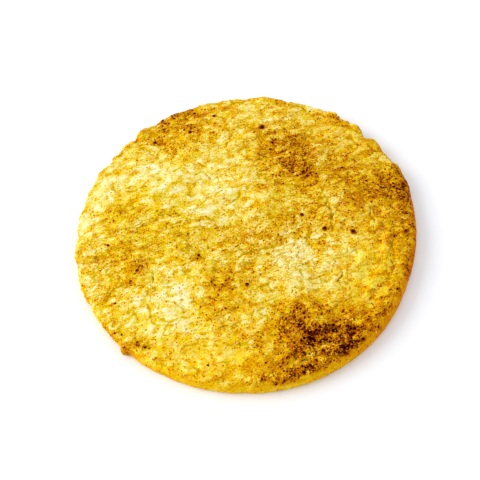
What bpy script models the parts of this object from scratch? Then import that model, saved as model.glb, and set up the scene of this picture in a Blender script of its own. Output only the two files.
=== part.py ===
# A snickerdoodle: one flat, nearly round biscuit with a crackled crust, lying on its flat base.
#
# The biscuit is a single closed solid, laid out as rings round its middle. The crust runs from
# the middle out to its edge, the wall rolls over and down to the base, and the base is flat.
# +X is to the right and +Y to the back of the biscuit, and the origin is at the bottom centre.

import bmesh
import bpy
from math import atan2, cos, exp, hypot, pi, radians, sin, tau
from mathutils import Vector, noise

MM = 0.001

# Plan: a round with a slight oval and a slight three-cornered swell, then broad swells and flats
MEAN_RADIUS = 40.3 * MM
OVAL = 0.8 * MM
OVAL_TOWARDS = radians(54)
THREE_CORNERS = 0.3 * MM
THREE_CORNERS_TOWARDS = radians(46)
SWELLS = (
    (radians(22), radians(12), 0.6 * MM),
    (radians(97), radians(34), 0.7 * MM),
    (radians(-18), radians(14), -0.4 * MM),
    (radians(264), radians(30), -0.25 * MM),
)

# Section: a low dome that ends in a thin rim at the back left and in a thick one at the front right
MIDDLE_HEIGHT = 7.0 * MM
THIN_RIM_HEIGHT = 3.6 * MM
THICK_RIM_HEIGHT = 4.6 * MM
DOME_POWER = 2.6           # how flat the dome stays before it falls to the rim
WIDEST_SHARE_THIN = 0.55   # height of the widest line, as a share of the rim's height
WIDEST_SHARE_THICK = 0.34
BASE_TUCK = 0.8 * MM       # how far the wall rolls back in under its widest line

# The thick side, and how far either way it reaches before half of its effect is gone
THICK_SIDE_TOWARDS = radians(-46)
THICK_SIDE_REACH = radians(72)
THICK_SIDE_BLEND = radians(30)

# Side wall: it slopes out widely at the right, and is nearly upright elsewhere
WIDE_SLOPE_TOWARDS = radians(-22)
WIDE_SLOPE_REACH = radians(56)
WIDE_SLOPE_BLEND = radians(32)
NARROW_SLOPE = 0.7 * MM
WIDE_SLOPE = 2.8 * MM

# Crags that stand out of the rim: where they are, how wide, and how far out they reach
CRAGS = (
    (radians(21), radians(3.0), 0.35 * MM),
    (radians(28), radians(3.0), 0.4 * MM),
    (radians(41.5), radians(3.0), 0.7 * MM),
    (radians(49.5), radians(2.4), 0.9 * MM),
    (radians(54), radians(1.4), 0.4 * MM),
    (radians(58.5), radians(2.4), 0.9 * MM),
    (radians(80.5), radians(2.2), 0.2 * MM),
    (radians(85), radians(2.2), 0.6 * MM),
    (radians(118), radians(3.0), 0.4 * MM),
    (radians(131), radians(2.8), 0.9 * MM),
    (radians(139.5), radians(2.0), 0.3 * MM),
    (radians(153.5), radians(2.6), 0.3 * MM),
    (radians(188), radians(2.6), 0.4 * MM),
    (radians(199), radians(4.0), 0.4 * MM),
    (radians(227.4), radians(1.4), 1.0 * MM),
)
NOTCHES = (
    (radians(44.5), radians(1.8), 1.0 * MM),
    (radians(98), radians(1.4), 0.3 * MM),
    (radians(135.5), radians(1.8), 0.4 * MM),
    (radians(143.5), radians(1.6), 0.4 * MM),
    (radians(148.5), radians(1.4), 0.4 * MM),
    (radians(168), radians(1.2), 0.3 * MM),
    (radians(180), radians(1.8), 0.6 * MM),
    (radians(191), radians(1.1), 0.7 * MM),
    (radians(269), radians(1.4), 0.3 * MM),
)
CRAG_LIFT = 0.5            # a crag lifts the rim by this share of its reach
CRAG_DEPTH_SHARE = 0.1     # share of the radius over which a crag fades into the crust

# Crumbly rim: fine unevenness of the outline, on the thin side only
CRUMB_REACH = 0.35 * MM
CRUMB_SPACING = 2.2 * MM

# Crust relief: broad lumps, and ridges that rise to the right across the biscuit
LUMP_SPACING = 9.0 * MM
LUMP_HEIGHT = 0.5 * MM
RIDGES_TOWARDS = radians(22)
RIDGE_LENGTH = 7.0 * MM
RIDGE_SPACING = 2.8 * MM
RIDGE_HEIGHT = 0.4 * MM
FOLD_SPACING = 4.2 * MM    # folds along the rim, inside the thick side
FOLD_HEIGHT = 0.22 * MM
FOLDS_REACH = 15 * MM      # how far in from the rim the folds die out
RELIEF_AT_RIM = 0.5        # share of the relief that is left at the crust's edge

# Cracks in the crust, each a shallow bow: two ends in millimetres, bow, and depth
CRACKS = (
    ((9.5, -35.0), (18.5, -28.5), -1.0 * MM, 0.6 * MM),
    ((26.5, 9.5), (29.5, -3.0), 1.4 * MM, 0.55 * MM),
    ((35.7, 15.5), (36.1, 0.0), 1.1 * MM, 0.45 * MM),
    ((33.2, -4.5), (33.7, -10.5), -0.4 * MM, 0.4 * MM),
    ((18.5, 8.0), (19.8, -1.5), 0.4 * MM, 0.5 * MM),
    ((-18.5, -19.5), (-13.5, -22.0), 0.5 * MM, 0.5 * MM),
    ((-21.5, -12.0), (-20.0, -17.5), -1.1 * MM, 0.5 * MM),
    ((-20.5, 3.4), (-14.0, 4.4), -0.5 * MM, 0.5 * MM),
    ((-1.0, 19.6), (4.5, 19.0), 0.5 * MM, 0.45 * MM),
    ((9.5, 0.2), (7.0, -4.5), 0.4 * MM, 0.45 * MM),
    ((21.5, -10.5), (20.2, -15.0), 0.4 * MM, 0.5 * MM),
    ((-4.0, 9.0), (1.5, 10.6), 0.6 * MM, 0.4 * MM),
)
CRACK_HALF_WIDTH = 0.65 * MM

# Mesh
CRUST_RINGS = 36           # ring number k has 6 k points
SIDES = 6
OVER_STEPS = 4             # steps of the wall from the crust's edge to the widest line
UNDER_STEPS = 2            # steps from there to the base

# Finish
CRUST_COLOUR = (0.76, 0.47, 0.05, 1.0)
CRUST_ROUGHNESS = 0.85


def smooth_step(value):
    """0 below 0, 1 above 1, with soft ends between."""
    value = min(max(value, 0.0), 1.0)
    return value * value * (3 - 2 * value)


def turn_between(angle, towards):
    """The signed turn from one direction to another, the short way round."""
    return (angle - towards + pi) % tau - pi


def side_share(angle, towards, reach, blend):
    """1 round one side of the biscuit and 0 round the other."""
    away = abs(turn_between(angle, towards))
    return smooth_step(0.5 + (reach - away) / (2 * blend))


def thick_share(angle):
    """1 round the thick, smooth side and 0 round the thin, crumbly side."""
    return side_share(angle, THICK_SIDE_TOWARDS, THICK_SIDE_REACH, THICK_SIDE_BLEND)


def between(low, high, share):
    return low + (high - low) * share


def bumps(angle, list_of_bumps):
    total = 0.0
    for towards, half_width, reach in list_of_bumps:
        total += reach * exp(-((turn_between(angle, towards) / half_width) ** 2))
    return total


def crumbs(angle):
    around = Vector((cos(angle), sin(angle), 0)) * (MEAN_RADIUS / CRUMB_SPACING)
    return CRUMB_REACH * noise.noise(around) * (1 - 0.8 * thick_share(angle))


def plain_radius(angle):
    """The biscuit's reach at its widest line, before crags and crumbs."""
    oval = OVAL * cos(2 * (angle - OVAL_TOWARDS))
    corners = THREE_CORNERS * cos(3 * (angle - THREE_CORNERS_TOWARDS))
    return MEAN_RADIUS + oval + corners + bumps(angle, SWELLS)


def rim_unevenness(angle):
    """How far crags and crumbs push the rim out, or notches pull it in."""
    return bumps(angle, CRAGS) - bumps(angle, NOTCHES) + crumbs(angle)


def wall_slope(angle):
    """How far the crust's edge lies in from the widest line."""
    wide = side_share(angle, WIDE_SLOPE_TOWARDS, WIDE_SLOPE_REACH, WIDE_SLOPE_BLEND)
    return between(NARROW_SLOPE, WIDE_SLOPE, wide)


def crack_depth(x, y):
    depth = 0.0
    for start, end, bow, deepest in CRACKS:
        along_x, along_y = (end[0] - start[0]) * MM, (end[1] - start[1]) * MM
        length = hypot(along_x, along_y)
        from_x, from_y = x - start[0] * MM, y - start[1] * MM
        share = (from_x * along_x + from_y * along_y) / length**2
        if not 0 < share < 1:
            continue
        across = (from_y * along_x - from_x * along_y) / length - bow * 4 * share * (1 - share)
        taper = smooth_step(6 * share) * smooth_step(6 * (1 - share))
        depth += deepest * taper * exp(-((across / CRACK_HALF_WIDTH) ** 2))
    return depth


def crust_relief(x, y, angle, from_rim):
    lumps = LUMP_HEIGHT * noise.noise(Vector((x, y, 0)) / LUMP_SPACING)
    along = x * cos(RIDGES_TOWARDS) + y * sin(RIDGES_TOWARDS)
    across = y * cos(RIDGES_TOWARDS) - x * sin(RIDGES_TOWARDS)
    ridges = RIDGE_HEIGHT * noise.noise(Vector((along / RIDGE_LENGTH, across / RIDGE_SPACING, 4.0)))
    waviness = noise.noise(Vector((x, y, 0.02)) / LUMP_SPACING)
    folds = FOLD_HEIGHT * cos(tau * from_rim / FOLD_SPACING + 3 * waviness)
    folds *= thick_share(angle) * smooth_step(1 - from_rim / FOLDS_REACH)
    return lumps + ridges + folds


def crust_point(angle, ring_share):
    """A point of the crust: ring_share runs from 0 in the middle to 1 at the crust's edge."""
    edge = plain_radius(angle) - wall_slope(angle)
    near_rim = smooth_step((ring_share - 1 + CRAG_DEPTH_SHARE) / CRAG_DEPTH_SHARE)
    radius = ring_share * edge + near_rim * rim_unevenness(angle)
    x, y = radius * cos(angle), radius * sin(angle)
    rim = between(THIN_RIM_HEIGHT, THICK_RIM_HEIGHT, thick_share(angle))
    dome = between(rim, MIDDLE_HEIGHT, 1 - ring_share**DOME_POWER)
    lift = near_rim * CRAG_LIFT * bumps(angle, CRAGS)
    relief = between(1, RELIEF_AT_RIM, near_rim) * crust_relief(x, y, angle, edge * (1 - ring_share))
    return Vector((x, y, dome + lift + relief - crack_depth(x, y)))


def wall_points(angle, edge_height):
    """The wall's points under one point of the crust's edge, from the top down to the base."""
    radius = plain_radius(angle) + rim_unevenness(angle)
    slope = wall_slope(angle)
    widest_height = edge_height * between(WIDEST_SHARE_THIN, WIDEST_SHARE_THICK, thick_share(angle))
    section = []
    for step in range(1, OVER_STEPS + 1):
        roll = pi / 2 * step / OVER_STEPS
        height = between(widest_height, edge_height, cos(roll))
        section.append((radius - slope * (1 - sin(roll)), height))
    for step in range(1, UNDER_STEPS + 1):
        roll = pi / 2 * step / UNDER_STEPS
        height = widest_height * (1 - sin(roll)) if step < UNDER_STEPS else 0.0
        section.append((radius - BASE_TUCK * (1 - cos(roll)), height))
    return [Vector((reach * cos(angle), reach * sin(angle), height)) for reach, height in section]


def add_crust(mesh):
    """Triangles in rings, each ring with one more point per side than the last. Returns the edge."""
    inner = [mesh.verts.new(crust_point(0.0, 0.0))]
    for ring in range(1, CRUST_RINGS + 1):
        count = SIDES * ring
        outer = [mesh.verts.new(crust_point(tau * i / count, ring / CRUST_RINGS)) for i in range(count)]
        for side in range(SIDES):
            for step in range(ring):
                near = inner[(side * (ring - 1) + step) % len(inner)]
                here = outer[side * ring + step]
                following = outer[(side * ring + step + 1) % count]
                mesh.faces.new((here, following, near))
                if step < ring - 1:
                    near_following = inner[(side * (ring - 1) + step + 1) % len(inner)]
                    mesh.faces.new((near, following, near_following))
        inner = outer
    return inner


def add_wall(mesh, edge):
    """Quads from the crust's edge down to the base. Returns the ring where the base starts."""
    columns = []
    for point in edge:
        angle = atan2(point.co.y, point.co.x)
        columns.append([point] + [mesh.verts.new(place) for place in wall_points(angle, point.co.z)])
    for here, following in zip(columns, columns[1:] + columns[:1]):
        for level in range(len(here) - 1):
            mesh.faces.new((here[level], here[level + 1], following[level + 1], following[level]))
    return [column[-1] for column in columns]


def add_base(mesh, foot):
    middle = mesh.verts.new((0, 0, 0))
    for here, following in zip(foot, foot[1:] + foot[:1]):
        mesh.faces.new((here, middle, following))


def centre_plan(mesh):
    """Puts the middle of the biscuit's length and width over the origin."""
    xs = [vertex.co.x for vertex in mesh.verts]
    ys = [vertex.co.y for vertex in mesh.verts]
    middle = Vector(((min(xs) + max(xs)) / 2, (min(ys) + max(ys)) / 2, 0))
    bmesh.ops.translate(mesh, verts=mesh.verts, vec=-middle)


def biscuit_mesh():
    mesh = bmesh.new()
    add_base(mesh, add_wall(mesh, add_crust(mesh)))
    centre_plan(mesh)
    data = bpy.data.meshes.new("snickerdoodle")
    mesh.to_mesh(data)
    mesh.free()
    data.shade_smooth()
    data.set_sharp_from_angle(angle=radians(50))
    return data


def crust_material():
    material = bpy.data.materials.new("crust")
    material.use_nodes = True
    shader = material.node_tree.nodes["Principled BSDF"]
    shader.inputs["Base Color"].default_value = CRUST_COLOUR
    shader.inputs["Roughness"].default_value = CRUST_ROUGHNESS
    shader.inputs["Metallic"].default_value = 0.0
    return material


def main():
    for leftover in list(bpy.data.objects):
        bpy.data.objects.remove(leftover)
    biscuit = bpy.data.objects.new("snickerdoodle", biscuit_mesh())
    biscuit.data.materials.append(crust_material())
    bpy.context.scene.collection.objects.link(biscuit)


main()
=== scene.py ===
from functools import cache
from math import atan2, cos, exp, hypot, pi, radians, sin, tau

import bmesh
import bpy
import numpy as np
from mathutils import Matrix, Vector, noise
from mathutils.bvhtree import BVHTree


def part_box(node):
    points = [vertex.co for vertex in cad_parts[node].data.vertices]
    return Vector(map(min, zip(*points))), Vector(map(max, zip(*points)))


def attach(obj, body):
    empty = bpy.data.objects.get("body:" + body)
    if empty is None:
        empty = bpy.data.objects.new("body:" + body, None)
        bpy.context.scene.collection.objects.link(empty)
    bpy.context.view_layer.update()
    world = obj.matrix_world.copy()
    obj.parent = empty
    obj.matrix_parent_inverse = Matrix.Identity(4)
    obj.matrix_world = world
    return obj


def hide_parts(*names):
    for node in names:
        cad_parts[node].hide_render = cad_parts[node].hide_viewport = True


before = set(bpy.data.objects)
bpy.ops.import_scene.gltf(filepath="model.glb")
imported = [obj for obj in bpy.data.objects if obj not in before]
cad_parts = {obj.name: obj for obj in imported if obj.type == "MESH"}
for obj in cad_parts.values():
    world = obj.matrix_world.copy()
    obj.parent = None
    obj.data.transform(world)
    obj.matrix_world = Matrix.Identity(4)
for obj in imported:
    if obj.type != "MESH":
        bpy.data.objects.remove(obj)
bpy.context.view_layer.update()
mm = 0.001
levelLight = 1.23  # how bright the light makes a white level surface
print("frame loaded")


# Sockets as Python expressions

def mathsMethod(operation):
    return lambda self, other: self.maths(operation, self, other)


class Wire:
    def __init__(self, tree, socket=None):
        self.tree = tree
        self.socket = socket

    # a new node: its settings first, then values or links for its sockets
    def add(self, kind, sockets=None, output=0, **settings):
        node = self.tree.nodes.new(kind)
        for name, value in settings.items():
            if name == "stops":
                setStops(node.color_ramp, value)
            else:
                setattr(node, name, value)
        for name, value in (sockets or {}).items():
            if isinstance(value, Wire):
                self.tree.links.new(value.socket, node.inputs[name])
            else:
                node.inputs[name].default_value = value
        return Wire(self.tree, node.outputs[output] if node.outputs else None)

    # another output of the node that this wire comes from
    def other(self, output):
        return Wire(self.tree, self.socket.node.outputs[output])

    def maths(self, operation, *values, clamp=False):
        return self.add("ShaderNodeMath", dict(enumerate(values)), operation=operation, use_clamp=clamp)

    def vectors(self, operation, *values, output=0):
        return self.add("ShaderNodeVectorMath", dict(enumerate(values)), output, operation=operation)

    def scaled(self, factor):
        return self.add("ShaderNodeVectorMath", {0: self, "Scale": factor}, operation="SCALE")

    def __rsub__(self, other):
        return self.maths("SUBTRACT", other, self)

    __add__ = __radd__ = mathsMethod("ADD")
    __sub__ = mathsMethod("SUBTRACT")
    __mul__ = __rmul__ = mathsMethod("MULTIPLY")
    __truediv__ = mathsMethod("DIVIDE")

    # textures with this wire as their place
    def noisy(self, scale, detail, roughness=0.5, output=0):
        sockets = {"Vector": self, "Scale": scale, "Detail": detail, "Roughness": roughness}
        return self.add("ShaderNodeTexNoise", sockets, output)

    def cells(self, size, feature="F1"):
        return self.add("ShaderNodeTexVoronoi", {"Vector": self, "Scale": 1 / size}, feature=feature)

    # 0 below low and 1 above high, with soft ends
    def rise(self, low, high):
        sockets = {"Value": self, "From Min": low, "From Max": high}
        return self.add("ShaderNodeMapRange", sockets, interpolation_type="SMOOTHSTEP")

    def clamped(self):
        return self.maths("ADD", self, 0.0, clamp=True)

    # this wire as a share between two colours
    def mix(self, low, high):
        return self.add("ShaderNodeMix", {0: self, 6: low, 7: high}, 2, data_type="RGBA")

    # the first of a vector's or colour's parts, with the rest as its other outputs
    def parts(self):
        return self.add("ShaderNodeSeparateXYZ", {0: self})


def setStops(ramp, stops):
    while len(ramp.elements) < len(stops):
        ramp.elements.new(1.0)
    for element, (place, colour) in zip(ramp.elements, stops):
        element.position = place
        element.color = colour


# a colour as the photo shows it, made the surface's own by taking the light on a level surface out
def paint(red, green, blue):
    shares = [part / 255 for part in (red, green, blue)]
    linear = [part / 12.92 if part < 0.04 else ((part + 0.055) / 1.055) ** 2.4 for part in shares]
    return (*[part / levelLight for part in linear], 1.0)


def smoothStep(value):
    value = min(max(value, 0.0), 1.0)
    return value * value * (3 - 2 * value)


def between(low, high, share):
    return low + (high - low) * share


def putInScene(name, data):
    thing = bpy.data.objects.new(name, data)
    bpy.context.scene.collection.objects.link(thing)
    return thing


# a new matte material, its shader and a wire in its tree
def matteMaterial(name, roughness, gloss):
    material = bpy.data.materials.new(name)
    material.use_nodes = True
    shader = material.node_tree.nodes["Principled BSDF"]
    shader.inputs["Roughness"].default_value = roughness
    shader.inputs["Specular IOR Level"].default_value = gloss
    return material, shader, Wire(material.node_tree)


# The camera comes first, because the patches on the crust are placed by where the photo shows them

view = {
    "lens": 100,
    "sensor": 36,
    "distance": 312.7,
    "elevation": 57,
    "aim": (-1.57, -2.02, 3.0),
    "frameSide": 480,  # pixels
    "searches": 6,  # how often a place on the crust is worked out more closely
}


def viewAxes():
    tilt = radians(view["elevation"])
    forward = Vector((0, cos(tilt), -sin(tilt)))
    upward = Vector((0, sin(tilt), cos(tilt)))
    place = Vector(view["aim"]) - view["distance"] * forward
    return place, forward, upward


def makeCamera():
    lens = bpy.data.cameras.new("camera")
    lens.lens = view["lens"]
    lens.sensor_width = view["sensor"]
    lens.clip_start = 0.01
    camera = putInScene("camera", lens)
    camera.location = viewAxes()[0] * mm
    camera.rotation_euler = (radians(90 - view["elevation"]), 0, 0)
    bpy.context.scene.camera = camera


makeCamera()
print("camera placed")


# The form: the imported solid's, on a finer mesh, with narrower cracks and a more ragged rim

form = {
    "meanRadius": 40.3,
    "oval": (0.8, 54),  # reach, towards
    "threeCorners": (0.3, 46),
    "swells": ((22, 12, 0.6), (97, 34, 0.7), (-18, 14, -0.4), (264, 30, -0.25)),
    "middleHeight": 7.0,
    "rimHeights": (3.6, 4.6),  # on the thin side, on the thick side
    "domePower": 2.6,
    "widestShares": (0.55, 0.34),  # how far up the wall is widest, as above
    "baseTuck": 0.8,
    "thickSide": (-46, 72, 30),  # towards, reach, blend
    "wideSlopeSide": (-22, 56, 32),
    "cleanSide": (-62, 47, 10),  # where the wall is free of cinnamon
    "cleanHighSide": (-42, 24, 14),  # and where that reaches up to the crust
    "paintedLightSide": (-112, 56, 24),  # where light is painted onto the wall, making it lightest
    "slopes": (0.7, 2.8),
    "crags": (  # towards, half width, reach, as the swells
        (21, 3.0, 0.35), (28, 3.0, 0.4), (41.5, 3.0, 0.7), (49.5, 2.4, 0.9), (54, 1.4, 0.4),
        (58.5, 2.4, 0.9), (80.5, 2.2, 0.2), (85, 2.2, 0.6), (118, 3.0, 0.4),
        (131, 2.8, 0.9), (139.5, 2.0, 0.3), (153.5, 2.6, 0.3), (188, 2.6, 0.4), (199, 4.0, 0.4),
        (227.4, 1.4, 1.0),
    ),
    "notches": (
        (44.5, 1.8, 1.0), (98, 1.4, 0.3), (135.5, 1.8, 0.4), (143.5, 1.6, 0.4), (148.5, 1.4, 0.4),
        (168, 1.2, 0.3), (180, 1.8, 0.6), (191, 1.1, 0.7), (269, 1.4, 0.3),
    ),
    "cragLift": 0.5,
    "cragDepthShare": 0.1,
    "crumbReach": 0.35,
    "crumbSpacing": 2.2,
    "crumbsLost": 0.8,  # how far the thick side does without them
    "lumpSpacing": 9.0,
    "lumpHeight": 0.5,
    "ridgesTowards": 22,
    "ridgeLength": 7.0,
    "ridgeSpacing": 2.8,
    "ridgeHeight": 0.4,
    "foldSpacing": 4.2,
    "foldHeight": 0.22,
    "foldsReach": 15,
    "foldWaviness": 3,
    "ridgeSlice": 4.0,  # heights at which the solid noise is cut
    "foldSlice": 20,
    "reliefAtRim": 0.5,
    "cracks": (  # start, end, bow, depth
        ((9.5, -35.0), (18.5, -28.5), -1.0, 0.6),
        ((26.5, 9.5), (29.5, -3.0), 1.4, 0.55),
        ((35.7, 15.5), (36.1, 0.0), 1.1, 0.45),
        ((33.2, -4.5), (33.7, -10.5), -0.4, 0.4),
        ((18.5, 8.0), (19.8, -1.5), 0.4, 0.5),
        ((-18.5, -19.5), (-13.5, -22.0), 0.5, 0.5),
        ((-21.5, -12.0), (-20.0, -17.5), -1.1, 0.5),
        ((-20.5, 3.4), (-14.0, 4.4), -0.5, 0.5),
        ((-1.0, 19.6), (4.5, 19.0), 0.5, 0.45),
        ((9.5, 0.2), (7.0, -4.5), 0.4, 0.45),
        ((21.5, -10.5), (20.2, -15.0), 0.4, 0.5),
        ((-4.0, 9.0), (1.5, 10.6), 0.6, 0.4),
    ),
    "crackHalfWidth": 0.30,
    "crackWander": (0.9, 1.6),  # reach, spacing
    "fullCrack": 0.6,  # depth at which a crack has its full darker colour, partly dough and partly painted shade
    "crackTaper": 6,  # how quickly a crack opens from its ends
    "crackEvenness": 0.7,
    "raggedReach": 0.32,
    "raggedSpacing": 0.8,
    "raggedLost": 0.9,  # as for the crumbs
}

cookieMesh = {
    "crustRings": 144,  # ring number k has 6 k points
    "baseRings": 72,  # half as many, so that each base point meets two foot points
    "overSteps": 12,
    "underSteps": 6,
}
ringSides = 6


def turnBetween(angle, towards):
    return (angle - towards + pi) % tau - pi


def sideShare(angle, side):
    towards, reach, blend = (radians(part) for part in side)
    return smoothStep(0.5 + (reach - abs(turnBetween(angle, towards))) / (2 * blend))


def bumps(angle, kind):
    total = 0.0
    for towards, halfWidth, reach in form[kind]:
        total += reach * exp(-((turnBetween(angle, radians(towards)) / radians(halfWidth)) ** 2))
    return total


def plainRadius(angle):
    oval, ovalTowards = form["oval"]
    corners, cornersTowards = form["threeCorners"]
    waves = oval * cos(2 * (angle - radians(ovalTowards)))
    waves += corners * cos(3 * (angle - radians(cornersTowards)))
    return form["meanRadius"] + waves + bumps(angle, "swells")


def crumbs(angle):
    around = Vector((cos(angle), sin(angle), 0)) * (form["meanRadius"] / form["crumbSpacing"])
    thick = sideShare(angle, form["thickSide"])
    return form["crumbReach"] * noise.noise(around) * (1 - form["crumbsLost"] * thick)


# the fine ragged surface of the crumbly rim
def ragged(angle, height):
    reach = form["meanRadius"]
    place = Vector((reach * cos(angle), reach * sin(angle), height)) / form["raggedSpacing"]
    thick = sideShare(angle, form["thickSide"])
    return form["raggedReach"] * noise.noise(place) * (1 - form["raggedLost"] * thick)


def crackShares(x, y):
    depth = 0.0
    reach, spacing = form["crackWander"]
    for start, end, bow, deepest in form["cracks"]:
        alongX, alongY = end[0] - start[0], end[1] - start[1]
        length = hypot(alongX, alongY)
        fromX, fromY = x - start[0], y - start[1]
        share = (fromX * alongX + fromY * alongY) / length**2
        if 0 < share < 1:
            across = (fromY * alongX - fromX * alongY) / length - bow * 4 * share * (1 - share)
            across += reach * noise.noise(Vector((share * length / spacing, start[0], start[1])))
            taper = smoothStep(form["crackTaper"] * share) * smoothStep(form["crackTaper"] * (1 - share))
            taper *= form["crackEvenness"] + noise.noise(Vector((share * length, start[1], start[0])))
            depth += deepest * taper * exp(-((across / form["crackHalfWidth"]) ** 2))
    return depth


# lengths along a direction and across it
def turned(x, y, towards):
    slant = radians(towards)
    return x * cos(slant) + y * sin(slant), y * cos(slant) - x * sin(slant)


def crustRelief(x, y, thick, fromRim):
    lumps = form["lumpHeight"] * noise.noise(Vector((x, y, 0)) / form["lumpSpacing"])
    along, across = turned(x, y, form["ridgesTowards"])
    ridgePlace = Vector((along / form["ridgeLength"], across / form["ridgeSpacing"], form["ridgeSlice"]))
    ridges = form["ridgeHeight"] * noise.noise(ridgePlace)
    waviness = form["foldWaviness"] * noise.noise(Vector((x, y, form["foldSlice"])) / form["lumpSpacing"])
    folds = form["foldHeight"] * cos(tau * fromRim / form["foldSpacing"] + waviness)
    folds *= thick * smoothStep(1 - fromRim / form["foldsReach"])
    return lumps + ridges + folds


# what depends on the direction alone, kept for all points in that direction
class Spoke:
    def __init__(self, angle):
        self.angle = angle
        self.thick = sideShare(angle, form["thickSide"])
        self.crags = bumps(angle, "crags")
        self.crumbly = self.crags - bumps(angle, "notches") + crumbs(angle)
        self.radius = plainRadius(angle)
        self.slope = between(*form["slopes"], sideShare(angle, form["wideSlopeSide"]))
        self.edge = self.radius - self.slope
        self.rim = between(*form["rimHeights"], self.thick)
        self.uneven = self.crumbly + ragged(angle, self.rim)

    def crustPoint(self, share):
        nearRim = smoothStep((share - 1 + form["cragDepthShare"]) / form["cragDepthShare"])
        radius = share * self.edge + nearRim * self.uneven
        x, y = radius * cos(self.angle), radius * sin(self.angle)
        dome = between(self.rim, form["middleHeight"], 1 - share ** form["domePower"])
        relief = crustRelief(x, y, self.thick, self.edge * (1 - share))
        relief *= between(1, form["reliefAtRim"], nearRim)
        crack = crackShares(x, y)
        height = dome + nearRim * form["cragLift"] * self.crags + relief - crack
        return (x, y, height), crack

    def wallPoints(self, edgeHeight):
        widest = edgeHeight * between(*form["widestShares"], self.thick)
        section = []
        for step in range(1, cookieMesh["overSteps"] + 1):
            roll = pi / 2 * step / cookieMesh["overSteps"]
            section.append((self.slope * (1 - sin(roll)), between(widest, edgeHeight, cos(roll))))
        for step in range(1, cookieMesh["underSteps"] + 1):
            roll = pi / 2 * step / cookieMesh["underSteps"]
            height = widest * (1 - sin(roll)) if step < cookieMesh["underSteps"] else 0.0
            section.append((form["baseTuck"] * (1 - cos(roll)), height))
        places = []
        for inward, height in section:
            reach = self.radius + self.crumbly - inward
            reach += ragged(self.angle, self.rim - edgeHeight + height)
            places.append((reach * cos(self.angle), reach * sin(self.angle), height))
        return places


# triangles between the rings of a web, where ring number k starts at starts[k] and has 6 k points
def webFaces(starts, rings):
    faces = []
    for ring in range(1, rings + 1):
        inner, outer = starts[ring - 1], starts[ring]
        innerCount, outerCount = max(ringSides * (ring - 1), 1), ringSides * ring
        for side in range(ringSides):
            for step in range(ring):
                near = inner + (side * (ring - 1) + step) % innerCount
                here = outer + side * ring + step
                following = outer + (side * ring + step + 1) % outerCount
                faces.append((here, following, near))
                if step < ring - 1:
                    nextNear = inner + (side * (ring - 1) + step + 1) % innerCount
                    faces.append((near, following, nextNear))
    return faces


def cookieShape():
    kept = []  # place, crack and distance from the middle along the surface
    rings, starts = cookieMesh["crustRings"], []
    spokeAt = cache(Spoke)
    for ring in range(rings + 1):
        starts.append(len(kept))
        count = max(ringSides * ring, 1)
        for number in range(count):
            spoke = spokeAt(tau * number / count)
            kept.append((*spoke.crustPoint(ring / rings), spoke.edge * ring / rings))
    faces = webFaces(starts, rings)
    wallStart = len(kept)
    columns = []
    for number in range(count):
        top = starts[-1] + number
        edgePlace, arc = kept[top][0], kept[top][2]
        last = Vector(edgePlace)
        columns.append([top])
        for place in spokeAt(tau * number / count).wallPoints(edgePlace[2]):
            arc += (Vector(place) - last).length
            last = Vector(place)
            columns[-1].append(len(kept))
            kept.append((place, 0.0, arc))
    for here, following in zip(columns, columns[1:] + columns[:1]):
        for level in range(len(here) - 1):
            faces.append((here[level], here[level + 1], following[level + 1], following[level]))
    upperFaces = len(faces)
    foot = [column[-1] for column in columns]
    rings, starts, baseStart = cookieMesh["baseRings"], [], len(kept)
    for ring in range(rings + 1):
        starts.append(len(kept))
        count = max(ringSides * ring, 1)
        share = ring / (rings + 1)
        for number in range(count):
            x, y = kept[foot[number * len(foot) // count]][0][:2]
            kept.append(((x * share, y * share, 0.0), 0.0, 0.0))
    faces += [face[::-1] for face in webFaces(starts, rings)]
    for number in range(count):
        near, nextNear = starts[-1] + number, starts[-1] + (number + 1) % count
        here, middle = foot[2 * number], foot[2 * number + 1]
        following = foot[(2 * number + 2) % len(foot)]
        faces += [(here, near, middle), (near, nextNear, middle), (middle, nextNear, following)]
    points, cracks, arcs = (np.array(part) for part in zip(*kept))
    return points, cracks, arcs, faces, upperFaces, wallStart, baseStart


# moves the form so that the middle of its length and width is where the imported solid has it
def settle(points):
    low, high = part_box("snickerdoodle")
    middle = (points.min(0) + points.max(0)) / 2
    target = np.array((low + high) / 2) / mm
    points[:, :2] += (target - middle)[:2]
    return points


points, cracks, arcs, faces, upperFaces, wallStart, baseStart = cookieShape()
points = settle(points)
print("form worked out:", len(points), "points")


# Patches of browning, pale sugar, warmer hue and stronger texture, each where the photo shows it:
# column and row in its 480 pixels, length and width on the crust, per cent, and turn if there is one

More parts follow.
